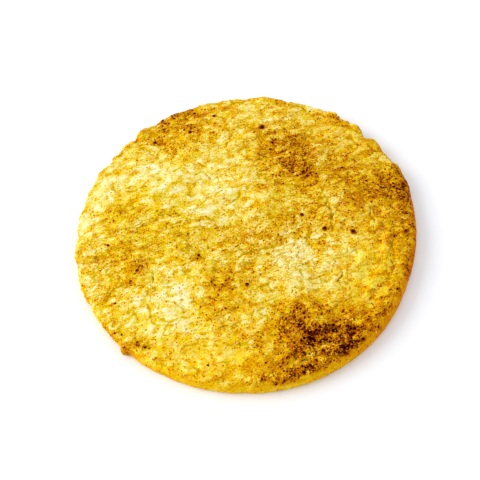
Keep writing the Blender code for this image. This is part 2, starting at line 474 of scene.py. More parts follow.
patches = {
    "browned": (
        (316, 338, 10, 5, 46, 18), (372, 326, 9, 3.4, 46, 48), (396, 300, 3, 5, 20, -20),
        (408, 222, 2.4, 14, 38), (409, 272, 1.6, 5, 40), (398, 182, 5, 6, 16, -40),
        (398, 169, 2.4, 2, 20, -40), (405, 284, 1.6, 2, 46), (366, 192, 12, 8, 27, -20),
        (345, 152, 14, 6, 13, -35), (328, 116, 4.6, 1.4, 54, -30), (288, 152, 7, 8, 40, -35),
        (260, 243, 3, 2, 20), (172, 124, 11, 4, 42, 30), (177, 115, 2.4, 1.6, 32, 20),
        (220, 187, 2.4, 1.6, 30), (171, 151, 3, 2, 32), (189, 145, 2.4, 2, 44),
        (168, 116, 6, 1.2, 25, 32), (124, 258, 9, 8, 11), (245, 232, 5, 3, 12, 15),
        (306, 226, 9, 4.4, 22, 12), (360, 208, 3.6, 2.4, 17), (357, 179, 3, 1.8, 26),
        (375, 192, 2.6, 2.4, 42), (387, 230, 2.6, 3.4, 35), (322, 241, 2.2, 1.8, 24),
        (222, 284, 5, 4, 27), (226, 306, 4.8, 3.6, 26, 40), (204, 304, 2.6, 1.8, 26),
        (230, 332, 2.6, 2.2, 38), (206, 322, 2.8, 2.6, 30), (254, 377, 2.6, 1.4, 28),
        (259, 370, 5, 2.4, 22, 10), (269, 335, 5, 3, 42, 10), (290, 292, 2.2, 1.6, 28),
        (293, 316, 3.4, 2.8, 68, 60), (309, 309, 3.2, 1.8, 68, -10), (294, 328, 2.4, 2.4, 24),
        (342, 307, 4, 1.8, 20), (336, 359, 3, 1.2, 24, 30), (341, 313, 5, 1.8, 34, 5),
        (299, 323, 3, 1.8, 40, 30), (315, 336, 2.2, 2.4, 90), (304, 344, 2.6, 1.6, 68, 20),
        (322, 327, 2.6, 1.2, 45, 10), (338, 327, 3.6, 1.7, 115, 8), (351, 326, 2.4, 1.6, 46, -20),
        (330, 335, 3, 1.2, 45), (303, 352, 2.2, 1.4, 40, 30), (290, 354, 1.8, 1.2, 35),
        (327, 353, 3, 1.6, 62, 20), (344, 349, 3.6, 1.8, 98, 35), (356, 342, 1.8, 1.4, 65, 30),
        (384, 312, 3, 1.2, 25, 55), (398, 288, 2.6, 0.6, 50, 12), (308, 366, 2.4, 1.1, 40, 30),
        (321, 367, 1.9, 1.2, 76, 20), (286, 376, 4, 1.7, 94, 18), (282, 362, 4, 2.6, 20, 15),
        (411, 270, 1.2, 1.6, 60), (403, 186, 2.4, 3, 45, -60), (404, 203, 1.6, 3.6, 34),
        (386, 188, 4, 2.2, 30), (391, 174, 2.2, 2, 24), (271, 132, 2.4, 1.6, 28),
        (303, 170, 3.6, 3.2, 60, -35), (318, 183, 2.4, 1.6, 30), (320, 210, 2.2, 1.6, 26),
        (275, 166, 2.2, 2, 26), (307, 173, 1.6, 1.2, 40), (294, 144, 2.4, 1.6, 35),
        (271, 143, 2.2, 2.2, 44), (262, 127, 1.4, 1.4, 40), (190, 112, 3.6, 1.2, 50, 25),
        (191, 130, 1.8, 1.8, 35), (160, 141, 2, 1.6, 40), (135, 268, 2.2, 2, 36),
        (131, 284, 1.8, 1.8, 30), (110, 299, 3, 2.2, 26), (107, 330, 2.2, 2.4, 50),
        (116, 214, 3.4, 2.6, 28), (161, 300, 2.2, 1.8, 34), (180, 216, 2.4, 1.6, 34, 10),
        (182, 257, 2.4, 1.8, 28), (303, 263, 1.3, 0.8, 36, 20), (294, 256, 1.2, 0.7, 40, 30),
        (376, 194, 2.4, 1.8, 20), (191, 238, 2.6, 1.8, 22), (259, 270, 2.4, 1.8, 20),
        (234, 123, 2.4, 1.8, 20), (202, 132, 3, 2, 22), (134, 168, 5, 3, 16), (101, 213, 2, 2, 24),
        (199, 255, 1.6, 1.6, 35), (167, 154, 2.2, 1.6, 26), (224, 174, 2.4, 1.6, 22),
        (216, 283, 2.6, 2.2, 25), (351, 230, 1.6, 1.4, 35), (141, 345, 3.4, 1.9, 50, -15),
        (120, 349, 1.6, 1.2, 44), (98, 261, 2, 1.6, 30), (141, 204, 5, 3.4, 9), (250, 152, 4.4, 4, 9),
        (171, 351, 4.4, 3, 9), (242, 309, 2, 1.6, 24), (267, 348, 2, 1.2, 26), (401, 241, 2.2, 2, 24),
        (387, 292, 2.2, 1.8, 24), (84, 291, 2, 1.8, 24), (371, 330, 2.4, 1.6, 26),
    ),
    "pale": (
        (142, 172, 9, 6, 74, 20), (216, 182, 8.6, 8, 84, 5), (97, 202, 4, 10, 74, -15),
        (171, 298, 8.6, 9, 66), (289, 262, 6.8, 6.2, 91, 10), (350, 258, 9, 10, 44),
        (205, 347, 17, 9, 46, 8), (152, 190, 6, 4, 18), (214, 214, 5.6, 3, 24, 10), (312, 280, 6, 4, 18),
        (204, 264, 5, 4, 14), (304, 124, 4, 3, 16), (384, 292, 5, 5, 16), (236, 130, 6, 8, 40),
        (244, 318, 5, 4, 40), (259, 340, 2.6, 1.7, 58), (113, 311, 2, 2, 30), (340, 283, 2.2, 1.6, 34),
        (376, 299, 2.2, 1.8, 24), (396, 215, 1.8, 2.2, 22), (161, 322, 2.6, 1.8, 36),
        (386, 275, 2.2, 1.8, 30), (230, 350, 4.4, 2.6, 32), (123, 330, 2.6, 1.8, 42),
        (182, 338, 2.6, 1.6, 28), (90, 276, 4, 7, 55), (128, 310, 5, 4, 36), (127, 156, 4, 2.4, 45, 30),
        (165, 177, 4, 2.6, 35, 10), (235, 213, 4, 2, 35), (88, 224, 2.4, 3.4, 40), (182, 297, 3, 3, 35),
        (294, 251, 3, 3, 45), (322, 345, 4, 0.8, 25, 30), (323, 318, 4.6, 1.9, 72, 5),
        (340, 137, 4.6, 2.8, 70, -20), (370, 160, 3, 1.6, 35, -30), (325, 200, 1.8, 3, 40),
        (247, 105, 4, 1.8, 45), (199, 108, 2.8, 1.5, 86, 20), (304, 116, 3, 2.2, 54),
        (257, 119, 2.2, 2.2, 44), (323, 225, 2, 1.6, 44), (301, 281, 2.2, 1.4, 40),
        (313, 349, 2.2, 1.4, 80, 30), (355, 333, 2, 1.3, 62, 30), (347, 219, 2.6, 1.8, 42),
        (277, 118, 3, 1.5, 60), (298, 281, 3.4, 2.4, 35), (258, 295, 3.4, 2.4, 28),
        (312, 108, 3, 1.6, 58, -15), (270, 207, 2.4, 2, 28), (288, 141, 2, 1.4, 32),
        (351, 250, 3.2, 2.8, 42), (364, 264, 3, 2.8, 16), (193, 212, 3.2, 2.2, 54),
        (332, 175, 2.2, 1.6, 30), (274, 214, 4, 1.8, 26, 10), (261, 172, 2.6, 2.6, 50),
        (289, 346, 3.4, 2, 44, 20), (118, 235, 3.4, 2.2, 32), (217, 150, 3, 2.4, 24),
        (166, 194, 3, 2, 22, 15), (277, 351, 2.4, 1.6, 30), (331, 149, 2.6, 1.8, 24),
        (202, 232, 2.4, 1.8, 22), (360, 229, 2.2, 1.8, 22),
    ),
    "warm": (  # below 0 for cooler
        (380, 282, 8, 12, 110, -10), (366, 262, 6, 7, 65), (368, 212, 8, 9, 70), (399, 240, 4, 7, 70),
        (362, 306, 7, 5, 80, 30), (200, 366, 12, 5, 100, 8), (262, 364, 10, 5, 70, 8),
        (248, 322, 7, 5, 60), (340, 134, 8, 6, 80, -30), (218, 122, 7, 5, 50, 10), (162, 198, 9, 11, -80),
        (130, 248, 11, 9, -50), (196, 250, 12, 10, -40), (140, 315, 10, 8, -40),
        (120, 349, 2.4, 1.8, 220), (302, 272, 5, 4, 40), (266, 107, 9, 3, 40),
    ),
    "crumbly": (  # a stronger texture, below 0 for a smoother one
        (305, 262, 12, 6, 34), (260, 236, 6, 7, 26), (340, 200, 8, 6, 14), (98, 258, 5, 7, 26),
        (291, 258, 5, 5, 40), (333, 347, 9, 5, 22, 30), (312, 154, 11, 7, 20, -30),
        (136, 198, 14, 6, -26, 10), (215, 358, 18, 7, -22, 8), (150, 338, 8, 6, -20),
        (238, 290, 5, 4, -20), (185, 290, 6, 6, -14),
    ),
}


# the place on the crust, in plan, that the photo shows at a pixel
def onCrust(column, row):
    place, forward, upward = viewAxes()
    side = view["frameSide"]
    perPixel = view["sensor"] / view["lens"] / side
    ray = forward + Vector((1, 0, 0)) * (column - side / 2) * perPixel
    ray -= upward * (row - side / 2) * perPixel
    height = form["middleHeight"]
    for attempt in range(view["searches"]):
        spot = place + ray * ((height - place.z) / ray.z)
        angle = atan2(spot.y, spot.x)
        share = min(hypot(spot.x, spot.y) / plainRadius(angle), 1.0)
        rim = between(*form["rimHeights"], sideShare(angle, form["thickSide"]))
        height = between(rim, form["middleHeight"], 1 - share ** form["domePower"])
    return spot.x, spot.y


def patchShares(kind):
    total = np.zeros(len(points))
    for column, row, length, width, percent, *turn in patches[kind]:
        x, y = onCrust(column, row)
        along, across = turned(points[:, 0] - x, points[:, 1] - y, sum(turn))
        total += percent / 100 * np.exp(-((along / length) ** 2) - (across / width) ** 2)
    return total


# Hairline cracks in the crust: how deep, and the columns and rows that they pass through

hairlines = {
    "halfWidth": 0.24,
    "wander": (0.45, 1.3),  # reach, spacing
    "slice": 9.0,  # height at which the solid noise is cut
    "seed": 1,  # of the wander
    "lines": (
        (1.0, ((216, 271), (223, 267), (234, 261), (244, 254), (257, 250), (272, 247), (277, 243))),
        (0.8, ((239, 246), (244, 254))),
        (0.3, ((371, 233), (362, 243), (355, 256), (346, 263), (337, 266))),
        (0.4, ((287, 260), (290, 273), (299, 274), (311, 264))),
        (0.6, ((313, 284), (322, 281), (331, 277))),
        (0.5, ((254, 290), (259, 286), (265, 284))),
        (0.8, ((195, 175), (204, 171), (210, 178))),
        (0.7, ((189, 219), (199, 221), (210, 218), (215, 221))),
        (0.8, ((230, 202), (236, 199), (240, 193))),
        (0.5, ((197, 203), (206, 205), (216, 204))),
        (0.6, ((186, 193), (190, 196), (195, 193))),
        (0.45, ((257, 159), (261, 168))),
        (0.8, ((321, 186), (325, 196), (330, 206), (331, 218), (333, 230))),
        (0.8, ((359, 185), (362, 198), (372, 206), (374, 212), (369, 222), (371, 232))),
        (0.8, ((391, 242), (394, 252), (395, 263), (392, 271))),
        (0.5, ((163, 298), (170, 302), (179, 307), (189, 310))),
        (0.5, ((278, 365), (292, 360), (304, 354), (318, 347))),
        (0.7, ((142, 301), (148, 304), (150, 312), (151, 321), (157, 325), (173, 325))),
        (0.6, ((146, 296), (153, 290), (157, 287))),
    ),
}


def hairlineShares():
    reach, spacing = hairlines["wander"]
    noise.seed_set(hairlines["seed"])
    places = [Vector((x, y, hairlines["slice"])) / spacing for x, y in points[:, :2]]
    pushes = [noise.noise_vector(place).xy for place in places]
    spots = points[:, :2] + reach * np.array(pushes)
    shares = np.zeros(len(points))
    for strength, marks in hairlines["lines"]:
        corners = np.array([onCrust(column, row) for column, row in marks])
        for start, end in zip(corners, corners[1:]):
            along = end - start
            share = np.clip((spots - start) @ along / (along @ along), 0, 1)
            away = np.linalg.norm(spots - start - share[:, None] * along, axis=1)
            shares = np.maximum(shares, strength * np.exp(-((away / hairlines["halfWidth"]) ** 2)))
    shares[points[:, 2] < form["rimHeights"][0]] = 0.0
    return shares


wallEdges = {
    "rise": (3, 0.9),  # how quickly the wall's look starts below the rim, and how far down
    "thinShare": 0.25,  # what is left of it on the crumbly side
    "cleanLower": 0.7,
    "baseHeight": 0.9,
}


# 1 on the side wall, 0 on the crust and less on the crumbly rim; and its clean part and the part where
# light is painted on
def wallShares():
    wall, clean, light = np.zeros((3, len(points)))
    upper = slice(wallStart, baseStart)
    angles = np.arctan2(points[upper, 1], points[upper, 0])
    thick, high, low, paintedLit = (
        np.array([sideShare(angle, form[side]) for angle in angles])
        for side in ("thickSide", "cleanHighSide", "cleanSide", "paintedLightSide"))
    levels = cookieMesh["overSteps"] + cookieMesh["underSteps"]
    down = np.tile(np.arange(1, levels + 1) / cookieMesh["overSteps"], len(angles) // levels)
    steepness, offset = wallEdges["rise"]
    wall[upper] = np.clip(down * steepness - offset, 0, 1) * between(wallEdges["thinShare"], 1, thick)
    clean[upper] = low * np.clip(down * steepness - offset - wallEdges["cleanLower"] * (1 - high), 0, 1)
    # painted light: a share of the wall towards its front left side, to be made lighter
    light[upper] = wall[upper] * paintedLit
    wall[baseStart:] = 1.0
    return wall, clean, light


# the point at each corner of each face
def cornerPoints(data):
    corners = np.zeros(len(data.loops), dtype=np.int32)
    data.loops.foreach_get("vertex_index", corners)
    return corners


def makeCookie():
    data = bpy.data.meshes.new("cookie")
    data.from_pydata((points * mm).tolist(), [], faces)
    # crust and wall unrolled as one disc, and the underside as a smaller one in the corner
    upperX, upperY, upperRadius = 0.41, 0.59, 0.405
    underX, underY, underRadius = 0.825, 0.175, 0.168
    angles = np.arctan2(points[:, 1], points[:, 0])
    reach = arcs / arcs.max() * upperRadius
    upperMap = np.stack([upperX + reach * np.cos(angles), upperY + reach * np.sin(angles)], 1)
    underMap = np.array([underX, underY]) + points[:, :2] * (underRadius / np.abs(points[:, :2]).max())
    corners = cornerPoints(data)
    upperCorners = sum(len(face) for face in faces[:upperFaces])
    places = upperMap[corners]
    places[upperCorners:] = underMap[corners[upperCorners:]]
    data.uv_layers.new(name="OFBake").data.foreach_set("uv", places.ravel())
    wall, clean, light = wallShares()
    shares = {kind: patchShares(kind) * (1 - clean) for kind in ("browned", "pale", "warm")}
    shares |= {
        "crumbly": patchShares("crumbly"),
        "crack": cracks / form["fullCrack"],
        "hairline": hairlineShares(),
        "wall": wall,
        # the wall's part with painted light
        "light": light,
        "base": np.clip(1 - points[:, 2] / wallEdges["baseHeight"], 0, 1),
    }
    for name, values in shares.items():
        attribute = data.attributes.new(name, "FLOAT", "POINT")
        attribute.data.foreach_set("value", values.astype(np.float32))
    data.shade_smooth()
    return putInScene("cookie", data)


cookie = makeCookie()
print("cookie made:", len(cookie.data.polygons), "faces")


# Crumb fields, the same for the relief and for the colours, in millimetres

crumb = {
    "slant": 22,
    "stretch": 0.62,  # share of the length along the slant that counts
    "wobble": 0.8,
    "crumbSize": 1.0,
    "grainSize": 0.34,
    "blotchSize": 1.5,
    "fissureSize": 5.0,
    "fissureWidth": 0.055,
    "ledgeSize": 2.2,
    "ledgeStretch": 0.6,
    "ledgeStep": 0.3,
    "swirlsPerLength": 0.9,
    "openingsPerLength": 0.32,  # how often fissures open and close
    "roundness": (0.1, 0.75),  # where soft steps start and end, from here on
    "opened": (0.50, 0.56),
    "ledge": (0.47, 0.53),
    # painted shade: where a dark line runs along the lower edge of each ledge's step
    "ledgeShadeLower": (0.43, 0.46),
    "ledgeShadeUpper": (0.48, 0.51),
    "ledgeShadeSlope": (0.0, 0.05),
}


def crumbFields(place):
    slantwise = place.add("ShaderNodeVectorRotate", {"Vector": place, "Angle": -radians(crumb["slant"])},
                          rotation_type="Z_AXIS")
    slanted = place.vectors("MULTIPLY", slantwise, (crumb["stretch"], 1.0, 1.0))
    swirl = slanted.noisy(crumb["swirlsPerLength"], detail=1.0, output=1)
    push = place.vectors("SUBTRACT", swirl, (0.5, 0.5, 0.5)).scaled(2 * crumb["wobble"])
    warped = place.vectors("ADD", slanted, push)
    cells = warped.cells(crumb["crumbSize"])
    drawnOut = place.vectors("MULTIPLY", slantwise, (crumb["ledgeStretch"], 1.0, 1.0))
    drawnOut = place.vectors("ADD", drawnOut, push)
    upward = place.vectors("ADD", drawnOut, (0.0, crumb["ledgeStep"], 0.0))
    ledge, above = (
        spot.noisy(1 / crumb["ledgeSize"], detail=4.0, roughness=0.62) for spot in (drawnOut, upward))
    # painted shade: a dark line along the lower edge of each ledge, where its step would shadow the crust
    ledgeShade = ledge.rise(*crumb["ledgeShadeLower"]) * (1 - ledge.rise(*crumb["ledgeShadeUpper"]))
    ledgeShade *= (above - ledge).rise(*crumb["ledgeShadeSlope"])
    fissures = drawnOut.cells(crumb["fissureSize"], "DISTANCE_TO_EDGE")
    opened = place.noisy(crumb["openingsPerLength"], detail=1.0)
    return {
        "crumb": 1 - cells.rise(*crumb["roundness"]),
        "cell": cells.other("Color").parts(),
        "grain": place.noisy(1 / crumb["grainSize"], detail=3.0, roughness=0.8),
        "blotch": warped.noisy(1 / crumb["blotchSize"], detail=5.0, roughness=0.7),
        "ledge": ledge.rise(*crumb["ledge"]),
        "ledgeShade": ledgeShade,
        "fissure": (1 - fissures.rise(0.0, crumb["fissureWidth"])) * opened.rise(*crumb["opened"]),
    }


# Relief of crumbs, grains and fissures, pushed out of the crust along its normals

reliefInputs = {
    "crumb": 0.06,
    "blotch": 0.1,
    "ledge": 0.09,
    "grain": 0.04,
    "fissure": -0.14,
    "hairline": -0.16,
    "wallShare": 0.22,
}
reliefFade = (0.2, 0.9)  # shares of the base between which the relief ends
fieldMiddles = {"crumb": 0.6, "blotch": 0.5, "ledge": 0.5, "grain": 0.5, "fissure": 0.0, "hairline": 0.0}


def newTree(name, inputs):
    tree = bpy.data.node_groups.new(name, "GeometryNodeTree")
    tree.interface.new_socket("Geometry", in_out="INPUT", socket_type="NodeSocketGeometry")
    tree.interface.new_socket("Geometry", in_out="OUTPUT", socket_type="NodeSocketGeometry")
    for label, kind in inputs.items():
        tree.interface.new_socket(label, in_out="INPUT", socket_type=kind)
    return tree, Wire(tree).add("NodeGroupInput")


# the end of every tree: instances made real, and the material set
def endTree(wire, geometry, material):
    realized = wire.add("GeometryNodeRealizeInstances", {"Geometry": geometry})
    coloured = wire.add("GeometryNodeSetMaterial", {"Geometry": realized, "Material": material})
    wire.add("NodeGroupOutput", {"Geometry": coloured})


def named(wire, name):
    return wire.add("GeometryNodeInputNamedAttribute", {"Name": name}, data_type="FLOAT")


def useTree(piece, tree, values):
    modifier = piece.modifiers.new(tree.name, "NODES")
    modifier.node_group = tree
    for socket in tree.interface.items_tree:
        if socket.in_out == "INPUT" and socket.name in values:
            modifier[socket.identifier] = values[socket.name]
    evaluated = piece.evaluated_get(bpy.context.evaluated_depsgraph_get())
    made = bpy.data.meshes.new_from_object(evaluated)
    piece.modifiers.clear()
    return made


def crumbRelief(piece, material):
    tree, given = newTree("crumbRelief", {name: "NodeSocketFloat" for name in reliefInputs})
    fields = crumbFields(given.add("GeometryNodeInputPosition").scaled(1 / mm))
    fields["hairline"] = named(given, "hairline")
    height = sum((fields[name] - middle) * given.other(name) for name, middle in fieldMiddles.items())
    share = 1 - named(given, "wall") * (1 - given.other("wallShare"))
    share *= 1 - named(given, "base").rise(*reliefFade)
    offset = given.add("GeometryNodeInputNormal").scaled(height * share * mm)
    moved = given.add("GeometryNodeSetPosition", {"Geometry": given.other("Geometry"), "Offset": offset})
    endTree(given, moved, material)
    piece.data = useTree(piece, tree, reliefInputs)
    piece.data.name = "cookie"


# Baked crust: one tone from crumbs, dust, specks and patches, and a hue from lemon dough to cinnamon;
# painted shade darkens its cracks and ledges, and painted light brightens part of the wall

crust = {
    "palette": (  # tone, colour of dough, colour of cinnamon
        (0.00, (60, 30, 2), (36, 2, 3)),
        (0.15, (100, 66, 2), (78, 16, 7)),
        (0.30, (142, 104, 2), (130, 50, 8)),
        (0.45, (184, 136, 2), (178, 90, 8)),
        (0.56, (205, 162, 2), (206, 124, 3)),
        (0.66, (220, 184, 1), (226, 153, 1)),
        (0.75, (234, 204, 2), (240, 179, 1)),
        (0.83, (245, 222, 34), (249, 203, 27)),
        (0.90, (250, 236, 138), (253, 223, 120)),
        (0.98, (256, 250, 205), (256, 242, 180)),
        (1.00, (261, 255, 206), (261, 250, 196)),
    ),
    "middleTone": 0.783,
    "paler": 0.175,
    "browner": 0.26,
    "calmer": 0.36,  # how much weaker the texture is where the crust is pale
    "livelier": 0.45,  # and how much stronger where it is browned
    # ledgeShade darkens the crust with painted shade below each ledge
    "tones": {"crumb": 0.07, "cell": 0.07, "blotch": 0.135, "ledge": 0.08, "ledgeShade": -0.12,
              "grain": (1.325, 0.689),  # between the blotches, on them
              "clump": -0.10, "crest": 0.06},
    "crumbMiddle": 0.55,
    "middleHue": 0.66,
    "hues": {"browned": 0.42, "pale": -0.22, "warm": 0.3, "swirl": 0.7, "clump": 0.3, "ledgeShade": -0.2,
             "fine": 4.2},
    "dustHue": 0.8,
    "fineSize": 1.1,  # fine differences of colour at an equal brightness
    "fineBlue": 8.0,
    "fineMiddle": 0.55,
    "fineBlueShares": (0.12, 0.05, 0.003),  # of green squared, of blue, and everywhere
    "warmGolden": 0.48,
    "leastBlue": 0.32,
    "warmRedder": 0.035,
    "swirlSize": 1.6,
    "clumpSize": 2.2,
    "tintsPerLength": 1.4,  # of the loose grains
    "roughness": 0.85,
    "gloss": 0.02,
    "wallTone": 0.695,
    # painted light: how much lighter the wall is made on its front left side
    "wallPaintedLight": 0.125,
    "wallTexture": 0.35,
    "wallBrowner": 0.24,
    "wallHue": 1.0,
    "wallRedder": 0.16,  # how much less green the wall reflects outside its part with painted light
    # cracks, fissures and hairlines: a darker olive tone, partly the darker dough inside and partly
    # painted shade in the recess
    "crackDoughAndShadeTone": 0.57,
    "crackDoughAndShadeColour": (170, 124, 2),
    "crackDoughAndShadeShare": 0.6,
    "fissureShadeShare": 0.5,
    "hairlineShares": (0.25, 0.85),  # where it fades, where it is plain
    "baseLight": (214, 150, 56),
    "baseDark": (142, 78, 22),
    "baseBlotchSize": 4.0,
    "baseLighter": 0.15,
    "baseRimDarker": 0.7,
    "baseGrain": 0.9,
    "dotShift": (3.0, 0.3),  # times for each length, reach
    "clumps": (0.35, 1.65),  # how many dots there are between clumps and in them
    "fewerOnPale": 0.5,
    "faintestDot": 0.5,
    "bump": (4.0, 0.35, 0.1),  # grains for each length, strength, height
}

# where the soft steps in the colours start and end
steps = {
    "plateau": (0.455, 0.545),
    "clump": (0.38, 0.62),
    "hairline": (0.1, 0.75),
    "hairlineFade": (0.40, 0.58),
    "crack": (0.25, 0.95),
    "crestOuter": (0.02, 0.2),
    "crestInner": (0.3, 0.6),
    "dotChance": (0.0, 0.04),
    "dotEdge": (0.65, 1.15),
    "base": (0.8, 1.0),
    "baseBlotch": (0.36, 0.62),
    "baseRim": (0.7, 1.0),
    "tint": (0.35, 0.65),
    "grainBrowned": (0.0, 0.6),
}

# kinds of dots on the crust: spacing, share of places that have one, radius as a share of the spacing
dots = {
    "dust": {"spacing": 0.52, "anywhere": 0.26, "onBrowned": 0.70, "radii": (0.28, 0.54), "swell": 0.0,
             "darker": 0.26},
    "flecks": {"spacing": 1.0, "anywhere": 0.08, "onBrowned": 0.45, "radii": (0.14, 0.34), "swell": 0.06,
               "darker": 0.26},
    "specks": {"spacing": 0.8, "anywhere": -0.03, "onBrowned": 0.70, "radii": (0.20, 0.38), "swell": 0.18,
               "darker": 0.56},
}


def paletteStops(column):
    return [(stop[0], paint(*stop[column])) for stop in crust["palette"]]


def attributeShare(wire, name):
    return wire.add("ShaderNodeAttribute", output=2, attribute_name=name)


# dots in clumps, more of them and larger ones where the crust is browned, and fewer where it is pale
def dotShare(place, kind, browned, pale, clumps):
    cells = place.cells(kind["spacing"])
    chance = cells.other("Color").parts()
    wanted = (kind["anywhere"] * (1 - pale * crust["fewerOnPale"]) + browned * kind["onBrowned"]) * clumps
    present = 1 - (chance - wanted).rise(*steps["dotChance"])
    smallest, largest = kind["radii"]
    radius = smallest + chance.other(1) * (largest - smallest) + browned * kind["swell"]
    inside = 1 - (cells / radius).rise(*steps["dotEdge"])
    return inside * present * between(crust["faintestDot"], 1, chance.other(2))


# the underside, browned on the baking sheet in blotches and most round its edge
def undersideSkin(start, place, grain):
    blotches = place.noisy(1 / crust["baseBlotchSize"], detail=6.0, roughness=0.65)
    fromMiddle = start.vectors("LENGTH", place, output=1) / form["meanRadius"]
    lightness = blotches.rise(*steps["baseBlotch"]) + crust["baseLighter"]
    lightness = (lightness - fromMiddle.rise(*steps["baseRim"]) * crust["baseRimDarker"]).clamped()
    skin = lightness.mix(paint(*crust["baseDark"]), paint(*crust["baseLight"]))
    return skin.scaled(1 + (grain - 0.5) * crust["baseGrain"])


def crustMaterial():
    material, shader, start = matteMaterial("bakedCrust", crust["roughness"], crust["gloss"])
    place = start.add("ShaderNodeTexCoord", output=3).scaled(1 / mm)
    fields = crumbFields(place)
    names = ("browned", "pale", "warm", "crumbly", "wall", "light", "base", "crack", "hairline")
    browned, pale, warm, crumbly, wall, light, base, crack, hairline = (
        attributeShare(start, name) for name in names)

    tones, plateau = crust["tones"], fields["blotch"].rise(*steps["plateau"])
    texture = (fields["crumb"] - crust["crumbMiddle"]) * tones["crumb"]
    texture += (fields["cell"] - 0.5) * tones["cell"] + (plateau - 0.5) * tones["blotch"]
    texture += (fields["ledge"] - 0.5) * tones["ledge"] + fields["ledgeShade"] * tones["ledgeShade"]
    texture += (fields["grain"] - 0.5) * between(*tones["grain"], plateau)
    texture *= 1 - pale * crust["calmer"] + browned * crust["livelier"] + crumbly

    shiftScale, shiftReach = crust["dotShift"]
    rough = start.vectors("ADD", place, place.noisy(shiftScale, detail=1.0, output=1).scaled(shiftReach))
    clumping = place.noisy(1 / crust["clumpSize"], detail=2.0).rise(*steps["clump"])
    clumps = between(*crust["clumps"], clumping)
    texture += (clumping - 0.5) * tones["clump"]
    dotShares = {name: dotShare(rough, kind, browned, pale, clumps) for name, kind in dots.items()}

    fineParts = place.noisy(1 / crust["fineSize"], detail=3.0, roughness=0.8, output=1).parts()
    fading = fineParts.other(2).rise(*steps["hairlineFade"])
    # cracks, fissures and hairlines are darkened: partly the darker dough inside, partly painted shade in
    # the recesses
    hairline = hairline.rise(*steps["hairline"]) * between(*crust["hairlineShares"], fading)
    fissure = fields["fissure"] * crust["fissureShadeShare"]
    cracks = (fissure + crack.rise(*steps["crack"]) + hairline).clamped()
    crest = crack.rise(*steps["crestOuter"]) * (1 - crack.rise(*steps["crestInner"]))
    texture += crest * tones["crest"]
    tone = crust["middleTone"] + pale * crust["paler"] - browned * crust["browner"] + texture
    wallTone = crust["wallTone"] + texture * crust["wallTexture"] - browned * crust["wallBrowner"]
    # painted light: the wall is made lighter towards its front left side
    wallTone += light * crust["wallPaintedLight"]
    tone = tone * (1 - wall) + wallTone * wall
    for name, kind in dots.items():
        tone -= dotShares[name] * kind["darker"]
    tone = tone * (1 - cracks) + cracks * crust["crackDoughAndShadeTone"]

    swirl = place.noisy(1 / crust["swirlSize"], detail=2.0)
    changes = {"browned": browned, "pale": pale, "warm": warm, "ledgeShade": fields["ledgeShade"],
               "swirl": swirl - 0.5, "clump": clumping - 0.5, "fine": fineParts.other(1) - 0.5}
    hue = crust["middleHue"] + sum(change * crust["hues"][name] for name, change in changes.items())
    hue = hue * (1 - wall) + wall * crust["wallHue"]
    hue += sum(dotShares.values()) * crust["dustHue"]
    hue = (hue * (1 - cracks)).clamped()
    dough, cinnamon = (
        start.add("ShaderNodeValToRGB", {0: tone.clamped()}, stops=paletteStops(column))
        for column in (1, 2))
    parts = hue.mix(dough, cinnamon).parts()
    green = parts.other(1) * (1 - (wall - light) * crust["wallRedder"] - warm * crust["warmRedder"])
    blue = parts.other(2) * start.maths("MAXIMUM", 1 - warm * crust["warmGolden"], crust["leastBlue"])
    ofGreen, ofBlue, everywhere = crust["fineBlueShares"]
    change = green * green * ofGreen + blue * ofBlue + everywhere
    blue += (fineParts - crust["fineMiddle"]) * crust["fineBlue"] * change
    skin = start.add("ShaderNodeCombineXYZ", {0: parts, 1: green, 2: start.maths("MAXIMUM", blue, 0.0)})
    # the olive crack colour: partly darker dough, partly painted shade
    skin = (cracks * (1 - wall) * crust["crackDoughAndShadeShare"]).mix(skin, paint(*crust["crackDoughAndShadeColour"]))
    skin = base.rise(*steps["base"]).mix(skin, undersideSkin(start, place, fields["grain"]))
    start.tree.links.new(skin.socket, shader.inputs["Base Color"])
    bumpScale, strength, height = crust["bump"]
    bump = place.noisy(bumpScale, detail=2.0)
    bump = start.add("ShaderNodeBump", {"Height": bump, "Strength": strength, "Distance": height * mm})
    start.tree.links.new(bump.socket, shader.inputs["Normal"])
    return material


crumbRelief(cookie, crustMaterial())
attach(cookie, "root")
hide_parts("snickerdoodle")
print("crumb relief added and crust painted")


# Loose grains on the crust, scattered with more of them where it is browned or pale

grains = {
    "cinnamonGrains": {
        "colours": ((140, 56, 8), (196, 112, 14)),
        "onBrowned": (92, 20, 6),
        "edges": False,
        "sizes": {"Anywhere": 0.06, "On Browned": 1.4, "On Pale": 0.0, "Smallest": 0.10, "Largest": 0.22,
                  "Sunk": 0.5, "Seed": 11},
    },
    "sugarCrystals": {
        "colours": ((244, 206, 70), (252, 232, 130)),
        "onBrowned": (220, 152, 24),
        "edges": True,
        "sizes": {"Anywhere": 0.35, "On Browned": 0.2, "On Pale": 0.3, "Smallest": 0.10, "Largest": 0.20,
                  "Sunk": 0.5, "Seed": 23},
    },
}

scatter = {
    "bareBase": (0.0, 0.5),
    "bareWall": 0.9,
    "cubeSide": 1.7,  # in radii
    "unevenness": (0.7, 1.3),
}


def grainMaterial(name, settings, ringColour=None):
    material, shader, start = matteMaterial(name, crust["roughness"], crust["gloss"])
    place = start.add("ShaderNodeTexCoord", output=3).scaled(1 / mm)
    dark, light = (paint(*colour) for colour in settings["colours"])
    skin = place.noisy(crust["tintsPerLength"], detail=2.0).rise(*steps["tint"]).mix(dark, light)
    browned = attributeShare(start, "browned").rise(*steps["grainBrowned"])
    skin = browned.mix(skin, paint(*settings["onBrowned"]))
    if ringColour:
        skin = attributeShare(start, "scorched").mix(skin, paint(*ringColour))
    start.tree.links.new(skin.socket, shader.inputs["Base Color"])
    return material


# random numbers between two bounds, of kind FLOAT or FLOAT_VECTOR, one for each point
def draws(wire, kind, low, high, seed):
    first, output = {"FLOAT_VECTOR": (0, 0), "FLOAT": (2, 1)}[kind]
    sockets = {first: low, first + 1: high, 8: seed}
    return wire.add("FunctionNodeRandomValue", sockets, output, data_type=kind)


